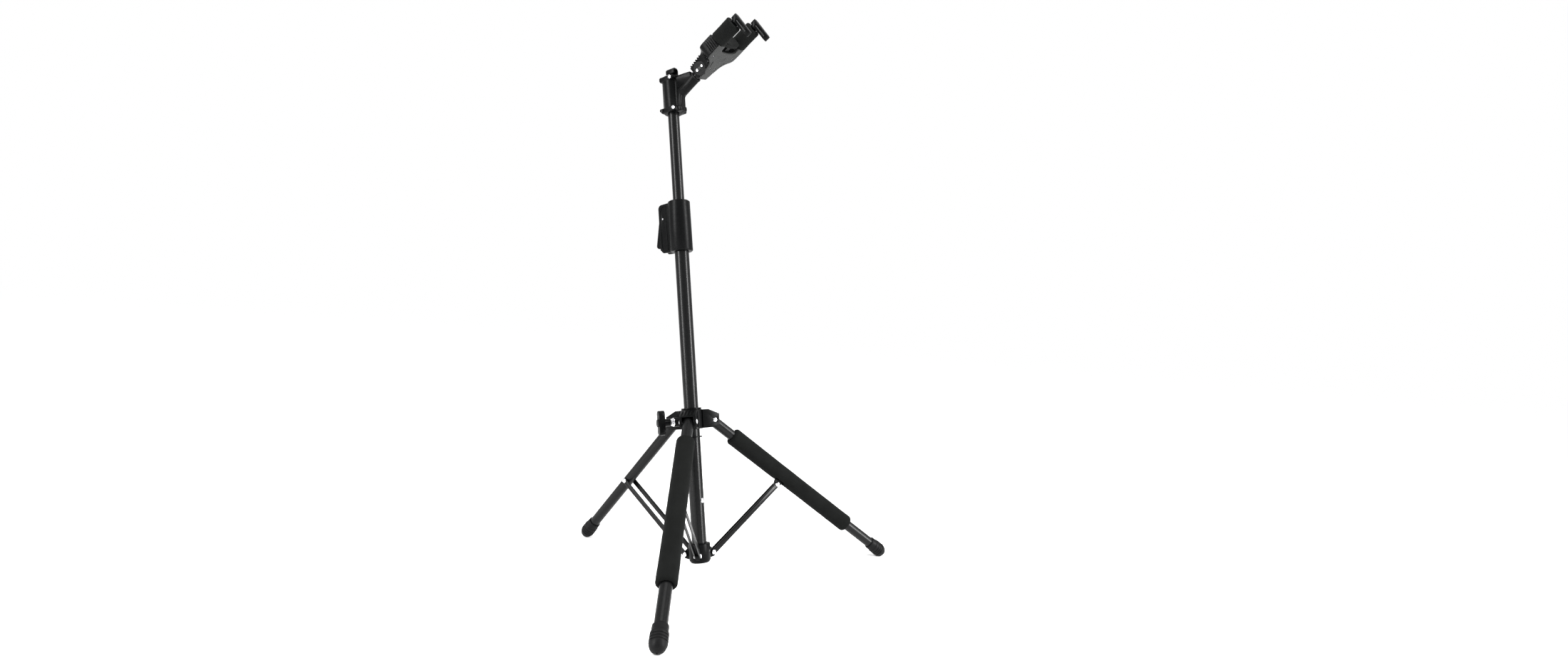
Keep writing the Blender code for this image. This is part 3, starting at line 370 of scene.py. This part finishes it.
def refined(node, slot, rounding=0.0, sharp=38, name=None):
    """A piece in a CAD node's shape, with its edges rounded and its curves shaded smooth."""
    bm = bmesh.new()
    bm.from_mesh(frame["nodes"][node].data)
    bmesh.ops.remove_doubles(bm, verts=bm.verts, dist=MERGE_DISTANCE)
    bmesh.ops.dissolve_limit(bm, angle_limit=FLAT_ANGLE, verts=bm.verts, edges=bm.edges)
    if rounding:
        limit = math.radians(sharp)
        edges = [e for e in bm.edges if e.is_manifold and e.calc_face_angle(0) > limit]
        bmesh.ops.bevel(bm, geom=edges, offset=rounding, segments=2, profile=0.5,
                        affect="EDGES", clamp_overlap=True)
    body = frame["nodes"][node]["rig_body"]
    return new_piece(name or node + "_body", bm, slot, body, sharp=sharp, replaces=(node,))


# ---------------------------------------------------------------- pieces in the CAD's shapes

def dress_cad_nodes():
    """Gives each CAD node its finish, then stands smooth or rounded pieces in for most."""
    slots = {part["node"]: part["material_slot"] for part in frame["record"]["subparts"]}
    for node, obj in frame["nodes"].items():
        obj.data.materials.clear()
        obj.data.materials.append(FINISH[slots[node]])
    smooth_only = ["lower_tube", "upper_shaft", "stop_ring", "yoke_stem", "neck_barrel",
                   "guide_bush", "socket_ring", "left_arm", "right_arm"]
    smooth_only += [name + "_leg" for name in LEG_NAMES]
    smooth_only += [name + "_hub_pin" for name in LEG_NAMES]
    smooth_only += [name + "_strut_pin" for name in LEG_NAMES]
    smooth_only += ["mast_rivet"]
    for node in smooth_only:
        refined(node, slots[node])
    rounded = {"hub": 0.8, "lower_collar": 0.7, "clutch_housing": 1.0, "clutch_lever": 1.0,
               "head_left_half": 0.6, "head_right_half": 0.6, "top_hook": 0.5, "wing_knob": 1.2,
               "clamp_nut": 0.4, "saddle": 0.8, "front_left_ear": 0.5, "front_right_ear": 0.5}
    for name in LEG_NAMES:
        rounded[name + "_strut_left"] = 0.5
        rounded[name + "_strut_right"] = 0.5
    for node, rounding in rounded.items():
        refined(node, slots[node], rounding * MM)


# ---------------------------------------------------------------- foam

def lumpy(bm, amount, scale=55, fine=0.35):
    """Pushes a soft skin in and out a little, broad swells first."""
    bm.normal_update()
    for vert in bm.verts:
        swell = noise.noise(vert.co * scale)
        ripple = noise.noise(vert.co * scale * 6)
        vert.co += vert.normal * amount * (swell + fine * ripple)


def foam_profile(radius, bore, length, shoulder):
    """A sleeve's section: rounded shoulders at both ends, slightly slack in the middle."""
    quarter = 6
    outer = []
    for i in range(quarter + 1):
        angle = math.pi / 2 * i / quarter
        outer.append((radius - shoulder + shoulder * math.sin(angle),
                      shoulder - shoulder * math.cos(angle)))
    steps = max(10, int(length / (5 * MM)))
    for i in range(1, steps):
        share = i / steps
        sag = 0.25 * MM * math.sin(math.pi * share)
        outer.append((radius - sag, shoulder + (length - 2 * shoulder) * share))
    for i in range(quarter + 1):
        angle = math.pi / 2 * i / quarter
        outer.append((radius - shoulder + shoulder * math.cos(angle),
                      length - shoulder + shoulder * math.sin(angle)))
    lip = 0.6 * MM
    ends = [(bore + lip, 0), (bore, lip)]
    far_ends = [(bore, length - lip), (bore + lip, length)]
    return [ends[1], ends[0]] + outer + [far_ends[1], far_ends[0]]


def make_leg_foam(name):
    """A leg's sleeve, notched at the back where the strut's ear comes out."""
    start, end = FOAM_SPAN
    length = end - start
    profile = foam_profile(FOAM_RADIUS, LEG_RADIUS + SLEEVE_GAP, length, LEG_SHOULDER)
    bm = lathe(profile, steps=64, closed=True)
    bmesh.ops.translate(bm, vec=(0, 0, -end), verts=bm.verts)
    lumpy(bm, 0.28 * MM)
    pin = Vector(JOINTS[name + "_strut_swing"]["pos_m"])
    local = LEG[name].inverted() @ pin
    notch = rounded_box((16.0 * MM, 26 * MM, 21 * MM), (0, 17 * MM, local.z), 2.5 * MM, 3)
    bm = cut(bm, notch)
    new_piece(name + "_grip", bm, "foam", name + "_leg", LEG[name], sharp=50,
              replaces=(name + "_foam",))


def make_arm_foam(side, label):
    length = ARM_SPAN - 2 * SLEEVE_GAP
    profile = foam_profile(ARM_FOAM_RADIUS, ARM_RADIUS + SLEEVE_GAP, length, ARM_SHOULDER)
    bm = lathe(profile, steps=48, closed=True)
    bmesh.ops.translate(bm, vec=(side * ARM_X, 0, ARM_BASE + SLEEVE_GAP), verts=bm.verts)
    lumpy(bm, 0.15 * MM, scale=110)
    new_piece(label + "_arm_sleeve", bm, "foam", label + "_arm", YOKE, sharp=50,
              replaces=(label + "_arm_foam",))


def squared(wave):
    """Flattens a sine's top, so that a circle drawn with it becomes a rounded square."""
    return math.copysign(abs(wave) ** 0.45, wave)


def make_saddle_pad():
    """A soft strip with a crowned top, arched to the saddle it is glued to."""
    half_x, half_y, thick = 26 * MM, 9 * MM, 2.7 * MM
    columns, around = 36, 24
    bm = bmesh.new()
    rings = []
    for i in range(columns + 1):
        share = -1 + 2 * i / columns
        pull = 1 - 0.35 * max(0.0, (abs(share) - 0.9) / 0.1) ** 2
        arch = 2 * MM * share * share
        ring = []
        for k in range(around):
            angle = math.tau * k / around
            across, lift = math.cos(angle), math.sin(angle)
            y = half_y * squared(across) * pull
            z = SADDLE_TOP + arch + thick / 2 + thick / 2 * squared(lift) * pull
            ring.append(bm.verts.new((half_x * share, y, z)))
        rings.append(ring)
    for low, high in zip(rings, rings[1:]):
        for k in range(around):
            bm.faces.new((low[k], low[(k + 1) % around], high[(k + 1) % around], high[k]))
    bm.faces.new(rings[0])
    bm.faces.new(rings[-1])
    new_piece("saddle_cushion", bm, "foam", "saddle", YOKE, sharp=60,
              replaces=("saddle_pad",))


# ---------------------------------------------------------------- legs

def make_boot(name):
    """A ribbed rubber boot with a plain cuff, a stepped body, three grooves and a dimpled tip."""
    line = [(9.6, 39), (10.6, 39), (11.05, 38.4), (11.2, 36), (11.35, 29.4), (11.5, 28.6),
            (12.1, 28.2), (12.3, 27.2)]
    for height in (22.6, 18.4, 14.2):
        line += [(12.45, height + 1.1), (12.3, height + 0.7), (11.65, height + 0.5),
                 (11.65, height - 0.5), (12.3, height - 0.7), (12.45, height - 1.1)]
    line += [(12.1, 11.4)]
    for degrees in (12, 26, 40, 54, 66, 78):
        angle = math.radians(degrees)
        line.append((11.5 * math.cos(angle), 11.5 - 11.4 * math.sin(angle)))
    line += [(1.6, 0.15), (1.3, 0.9), (0, 1.1)]
    tip = -LEG_LENGTHS[name]
    profile = [(r * MM, tip + z * MM) for r, z in line]
    new_piece(name + "_rubber_boot", lathe(profile, 56), "rubber", name + "_leg", LEG[name],
              sharp=48, replaces=(name + "_boot",))


def make_strut_rivets(name):
    """Domed rivet heads at the strut's collar end, one on the outer side of each bar."""
    place, length = strut_frame(name)
    dome = [(3.9, 0), (3.8, 0.5), (3.1, 1.1), (1.8, 1.5), (0, 1.65)]
    heads = []
    for side in (-1, 1):
        head = lathe([(r * MM, z * MM) for r, z in dome], 28)
        turn = Matrix.Rotation(side * math.pi / 2, 4, "Y")
        shift = Matrix.Translation((side * (STRUT_FACE[name] + 0.02 * MM), 0, -length))
        heads.append(moved(head, shift @ turn))
    new_piece(name + "_strut_rivets", joined(heads), "chrome", name + "_strut", place)


def make_hub_ribs():
    """Five raised ribs down the sloping roof of each leg socket, and a lip across its front."""
    inner, outer = Vector((26 * MM, 256.7 * MM)), Vector((44 * MM, 248.8 * MM))
    middle = (inner + outer) / 2
    slope = math.atan2(outer.y - inner.y, outer.x - inner.x)
    length = (outer - inner).length
    headings = {"front_left": -60, "front_right": 60, "rear": 180}
    for name, degrees in headings.items():
        ribs = []
        for across in (-10.4, -5.2, 0, 5.2, 10.4):
            rib = rounded_box((2.3 * MM, length, 2.0 * MM), (0, 0, 0), 0.7 * MM, 2)
            ribs.append(moved(rib, Matrix.Translation((across * MM, -middle.x, middle.y))
                              @ Matrix.Rotation(-slope, 4, "X")))
        lip = rounded_box((26.5 * MM, 1.8 * MM, 3.2 * MM), (0, -44.9 * MM, 247.6 * MM), 0.7 * MM, 2)
        ribs.append(lip)
        turn = Matrix.Rotation(math.radians(degrees), 4, "Z")
        new_piece(name + "_socket_ribs", joined(ribs), "black_plastic", "hub", MAST @ turn)


# ---------------------------------------------------------------- head and clutch

def pan_head(radius, height):
    """A screw's pan head with a round drive recess, standing on z = 0."""
    line = [(radius, 0), (radius, height * 0.45), (radius * 0.86, height * 0.85),
            (radius * 0.6, height), (radius * 0.42, height), (radius * 0.36, height * 0.45),
            (0, height * 0.4)]
    return lathe(line, 24)


def make_head_screws():
    """Bright screws at the front and top of the head, and a dark one at its lower back."""
    for side, label in ((-1, "left"), (1, "right")):
        heads = []
        turn = Matrix.Rotation(side * math.pi / 2, 4, "Y")
        for y, z in ((-13.6, 789.5), (-9.5, 846)):
            shift = Matrix.Translation((side * HEAD_SIDE, y * MM, z * MM))
            heads.append(moved(pan_head(*SCREW_SIZE), shift @ turn))
        new_piece(label + "_head_screws", joined(heads), "chrome", "shaft", MAST)
        shift = Matrix.Translation((side * HEAD_SIDE, 13.2 * MM, 789.5 * MM))
        new_piece(label + "_rear_head_screw", moved(pan_head(*SCREW_SIZE), shift @ turn),
                  "powder_coat", "shaft", MAST)


def make_clutch_trim():
    """A raised border round each side of the clutch's fin."""
    for side, label in ((-1, "left"), (1, "right")):
        outline = [(23.5, 541), (35, 541.5), (38.5, 546), (38.5, 612), (35.5, 619.5), (31, 621.5),
                   (23.5, 621.5)]
        inner = [(25.3, 543), (34.2, 543.3), (36.7, 546.6), (36.7, 611.4), (34.2, 617.9),
                 (30.6, 619.7), (25.3, 619.7)]
        bm = bmesh.new()
        rims = []
        for height in (8.2, 9.0):
            for line in (outline, inner):
                rims.append([bm.verts.new((side * height * MM, y * MM, z * MM)) for y, z in line])
        low_out, low_in, high_out, high_in = rims
        for a, b in ((low_out, high_out), (high_out, high_in), (high_in, low_in)):
            for i in range(len(outline)):
                j = (i + 1) % len(outline)
                bm.faces.new((a[i], a[j], b[j], b[i]))
        new_piece(label + "_fin_border", bm, "black_plastic", "mast", MAST)


def make_washer():
    """A bright washer between the clamp nut and the hub's boss."""
    turn = Matrix.Rotation(KNOB_HEADING, 4, "Z") @ Matrix.Rotation(math.pi / 2, 4, "X")
    line = [(3.6, 33.05), (7.2, 33.05), (7.4, 33.2), (7.4, 33.9), (7.2, 34.05), (3.6, 34.05)]
    bm = lathe([(r * MM, z * MM) for r, z in line], 36, closed=True)
    place = MAST @ Matrix.Translation((0, 0, BOLT_Z)) @ turn
    new_piece("clamp_washer", bm, "chrome", "hub", place)


# ---------------------------------------------------------------- yoke

def mirrored(half):
    return half + [(-x, z) for x, z in reversed(half)]


def yoke_line(inset=0.0):
    """The yoke's outline as (x, along the stem), with rounded flanks and shoulders."""
    flank = [(12.7, 0.3), (14, 5), (20.2, 28), (24, 34.5), (30, 40), (38, 44.2), (45, 46.8),
             (49, 50.5), (50.7, 57), (50.7, 77.6)]
    flank = smoothed([(x - inset, z + (inset if z < 1 else 0)) for x, z in flank], 2)
    bed = smoothed([(27.3, 77.6), (27.3, 71), (25, 68.6), (20, 67), (11, 66), (0, 66)], 1)[:-1]
    bed = [(x + inset, z - inset * (1 if z < 77 else 0)) for x, z in bed]
    return [(x * MM, z * MM) for x, z in mirrored(flank + bed)]


def disc_pockets():
    """Round rooms for the barrel's two discs, one in each side of the neck."""
    pockets = []
    room, inside, outside = DISC_RADIUS + 0.4 * MM, DISC_OUTSIDE - 3.2 * MM, 40 * MM
    for side in (-1, 1):
        pocket = lathe([(0, inside), (room, inside), (room, outside), (0, outside)])
        turn = Matrix.Rotation(side * math.pi / 2, 4, "Y")
        pockets.append(moved(pocket, Matrix.Translation(BARREL) @ turn))
    return pockets


def make_yoke_shell():
    """The yoke's rear casing, with a well for the saddle's post."""
    bm = slab(yoke_line(), YOKE_FACE, YOKE_BACK, 0.7 * MM, 4.6 * MM, 4)
    well = rounded_box((14 * MM, 26.6 * MM, 54 * MM), (0, -6.7 * MM, 63 * MM), 0)
    bm = cut(bm, *disc_pockets(), well)
    new_piece("yoke_shell", bm, "black_plastic", "yoke", YOKE, sharp=32,
              replaces=("yoke_rear_shell",))


FACE_SCREWS = ((-38, 55), (38, 55), (-9, 27), (9, 27))


def make_face_plate():
    """The grey plate, with a plain sunk panel, four screws and two slanting slots."""
    bm = slab(yoke_line(1.3), FACE_FRONT, YOKE_FACE - 0.3 * MM, 0.8 * MM, 0, 2)
    panel = rounded_box((24 * MM, 2 * MM, 9.5 * MM), (0, FACE_FRONT - 0.5 * MM, 51 * MM), 0.8 * MM, 2)
    tools = [panel] + disc_pockets()
    to_face = Matrix.Rotation(math.pi / 2, 4, "X")
    for x, z in FACE_SCREWS:
        line = [(0, -1.6), (2.3, -1.6), (2.3, 1.6), (0, 1.6)]
        hole = lathe([(r * MM, height * MM) for r, height in line], 24)
        shift = Matrix.Translation((x * MM, FACE_FRONT, z * MM))
        tools.append(moved(hole, shift @ to_face))
    for side in (-1, 1):
        tilt = Matrix.Rotation(math.radians(side * 28), 4, "Y")
        tools.append(rounded_box((2.2 * MM, 2.2 * MM, 14 * MM),
                                 (side * 20 * MM, FACE_FRONT, 38 * MM), 0.6 * MM, 2, turn=tilt))
    bm = cut(bm, *tools)
    new_piece("yoke_face", bm, "grey_plastic", "yoke", YOKE, sharp=32,
              replaces=("yoke_face_plate",))
    screws = []
    for x, z in FACE_SCREWS:
        shift = Matrix.Translation((x * MM, FACE_FRONT + 1.5 * MM, z * MM))
        screws.append(moved(pan_head(1.9 * MM, 1.0 * MM), shift @ to_face))
    new_piece("yoke_face_screws", joined(screws), "spring_steel", "yoke", YOKE)


def make_neck_trim():
    """Ridges across the back of the neck, and a plated strip with two screws on each disc."""
    ridges = []
    for z in (4, 9, 14, 19, 24, 29):
        half = 13.2 + 0.28 * z
        ridges.append(rounded_box((2 * half * MM, 2.8 * MM, 2.5 * MM),
                                  (0, YOKE_BACK + 0.7 * MM, z * MM), 1.0 * MM, 3))
    new_piece("neck_ridges", joined(ridges), "black_plastic", "yoke", YOKE)
    strips, screws = [], []
    _, y, middle = BARREL
    for side in (-1, 1):
        x = side * (DISC_OUTSIDE + 0.2 * MM)
        turn = Matrix.Rotation(side * math.pi / 2, 4, "Y")
        strips.append(rounded_box((0.8 * MM, 4.6 * MM, 17.4 * MM), (x, y, middle), 0.3 * MM, 2))
        for z in (middle - 5.75 * MM, middle + 5.75 * MM):
            shift = Matrix.Translation((x + side * 0.4 * MM, y, z))
            screws.append(moved(pan_head(2.3 * MM, 1.3 * MM), shift @ turn))
    new_piece("disc_strips", joined(strips), "grey_plastic", "yoke", YOKE)
    new_piece("disc_screws", joined(screws), "chrome", "yoke", YOKE)


def ribbed_ring(half_x, half_y, z, thick, steps=40):
    """A rounded-square hoop round the shoulder of the yoke."""
    bm = bmesh.new()
    rings = []
    for bulge, height in ((-1.6, -1), (0, -0.55), (0.15, 0), (0, 0.55), (-1.6, 1)):
        ring = []
        for i in range(steps):
            angle = math.tau * i / steps
            cos, sin = math.cos(angle), math.sin(angle)
            x = (half_x + bulge * MM) * math.copysign(abs(cos) ** 0.55, cos)
            y = (half_y + bulge * MM) * math.copysign(abs(sin) ** 0.55, sin)
            ring.append(bm.verts.new((x, y, z + height * thick / 2)))
        rings.append(ring)
    for low, high in zip(rings, rings[1:]):
        for i in range(steps):
            j = (i + 1) % steps
            bm.faces.new((low[i], low[j], high[j], high[i]))
    bm.faces.new(rings[0])
    bm.faces.new(rings[-1])
    return bm


def make_shoulder_ribs():
    """Five hoops round each shoulder, under the arm."""
    for side, label in ((-1, "left"), (1, "right")):
        hoops = []
        for z in (60.5, 64.3, 68.1, 71.9, 75.7):
            hoop = ribbed_ring(11.8 * MM, 12.9 * MM, z * MM, 2.7 * MM)
            hoops.append(moved(hoop, Matrix.Translation((side * 40.4 * MM, 1.4 * MM, 0))))
        new_piece(label + "_shoulder_ribs", joined(hoops), "black_plastic", "yoke", YOKE)


def make_saddle_skirt():
    """The soft block under the cushion, which fills the gap between the arms."""
    line = [(26, 81.4), (26, 78.5), (24.6, 76.2), (20, 75), (10, 74.4), (0, 74.2)]
    half = [(x * MM, z * MM) for x, z in smoothed(line, 1)]
    outline = half[:-1] + [(-x, z) for x, z in reversed(half)]
    bm = slab(outline, -8.6 * MM, 8.6 * MM, 1.6 * MM, 1.6 * MM, 2)
    new_piece("saddle_skirt", bm, "foam", "saddle", YOKE, sharp=50)


def make_saddle_spring():
    """The spring under the saddle, smooth-shaded, with a mesh of its own."""
    spring = refined("saddle_spring", "spring_steel")
    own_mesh(spring)


def make_finger(side, label):
    """The finger with a groove along each side, and a lighter grey strip in each groove as a painted
    highlight of the light the groove catches.
    """
    node = label + "_finger"
    bm = bmesh.new()
    bm.from_mesh(frame["nodes"][node].data)
    bmesh.ops.remove_doubles(bm, verts=bm.verts, dist=MERGE_DISTANCE)
    moved(bm, YOKE.inverted())
    tools = []
    for edge in (-1, 1):
        tools.append(rounded_box((2.2 * MM, 25 * MM, 3.4 * MM),
                                 (side * ARM_X + edge * 6.2 * MM, -13 * MM, FINGER_GROOVE_Z),
                                 0.5 * MM, 2, turn=Matrix.Rotation(edge * FINGER_TAPER, 4, "Z")))
    bm = cut(bm, *tools)
    new_piece(node + "_moulding", bm, "black_plastic", label + "_arm", YOKE, sharp=40,
              replaces=(node,))
    # Painted highlight: lighter grey strips in the grooves stand in for the light caught along each
    # groove.
    painted_highlights = []
    for edge in (-1, 1):
        painted_highlights.append(rounded_box((1.0 * MM, 23.4 * MM, 1.9 * MM),
                                  (side * ARM_X + edge * 5.5 * MM, -13 * MM, FINGER_GROOVE_Z),
                                  0.3 * MM, 2, turn=Matrix.Rotation(edge * FINGER_TAPER, 4, "Z")))
    new_piece(label + "_finger_inlays", joined(painted_highlights), "grey_plastic", label + "_arm", YOKE)


# ---------------------------------------------------------------- floor, light, camera

def make_studio():
    """A wide flat white floor under an even white sky."""
    world = bpy.data.worlds.new("studio")
    world.use_nodes = True
    world.node_tree.nodes["Background"].inputs["Color"].default_value = (1, 1, 1, 1)
    world.node_tree.nodes["Background"].inputs["Strength"].default_value = 1.0
    bpy.context.scene.world = world
    bm = bmesh.new()
    bmesh.ops.create_circle(bm, cap_ends=True, segments=96, radius=60)
    mesh = bpy.data.meshes.new("floor")
    bm.to_mesh(mesh)
    bm.free()
    paint = bpy.data.materials.new("pale_floor")
    paint.use_nodes = True
    shader = paint.node_tree.nodes["Principled BSDF"]
    shader.inputs["Base Color"].default_value = (1, 1, 1, 1)
    shader.inputs["Roughness"].default_value = 0.8
    shader.inputs["Specular IOR Level"].default_value = 0
    mesh.materials.append(paint)
    floor = bpy.data.objects.new("floor", mesh)
    bpy.context.scene.collection.objects.link(floor)


def softbox(name, place, aim, width, height, power):
    data = bpy.data.lights.new(name, "AREA")
    data.shape = "RECTANGLE"
    data.size = width
    data.size_y = height
    data.energy = power
    lamp = bpy.data.objects.new(name, data)
    lamp.location = place
    lamp.rotation_mode = "QUATERNION"
    lamp.rotation_quaternion = (Vector(aim) - Vector(place)).to_track_quat("-Z", "Y")
    bpy.context.scene.collection.objects.link(lamp)


def make_lights():
    """Two tall strips, behind left and front right, and a soft box overhead."""
    centre = (0, 0, 0.5)
    softbox("left_strip", (-2.1, 0.75, 1.3), centre, 0.45, 2.4, 110)
    softbox("right_strip", (0.65, -2.2, 1.2), centre, 0.45, 2.4, 140)
    softbox("top_box", (-0.4, -0.5, 2.9), centre, 1.8, 1.8, 30)


def make_camera():
    """The viewpoint, set in the mast's frame: front left, low, with a wide lens."""
    data = bpy.data.cameras.new("camera")
    data.lens = 18.256
    data.sensor_width = 36
    data.clip_start = 0.05
    data.clip_end = 60
    camera = bpy.data.objects.new("camera", data)
    look = Vector((0.84166, 0.53142, 0.09593))
    up = Vector((-0.04264, -0.11169, 0.99283))
    back = -look.normalized()
    right = up.cross(back).normalized()
    up = back.cross(right)
    turn = Matrix((right, up, back)).transposed().to_4x4()
    place = Matrix.Translation((-1.07300, -0.87744, 0.24904))
    camera.matrix_world = MAST @ place @ turn
    bpy.context.scene.collection.objects.link(camera)
    bpy.context.scene.camera = camera


# ---------------------------------------------------------------- everything

make_studio()
make_lights()
make_camera()
dress_cad_nodes()
for leg_name in LEG_NAMES:
    make_boot(leg_name)
    make_strut_rivets(leg_name)
for leg_name in LEG_NAMES[:2]:
    make_leg_foam(leg_name)
make_hub_ribs()
make_washer()
make_head_screws()
make_clutch_trim()
make_yoke_shell()
make_face_plate()
make_neck_trim()
make_shoulder_ribs()
make_saddle_pad()
make_saddle_skirt()
make_saddle_spring()
for arm_side, arm_label in ((-1, "left"), (1, "right")):
    make_arm_foam(arm_side, arm_label)
    make_finger(arm_side, arm_label)

bpy.context.scene.view_settings.view_transform = "Standard"
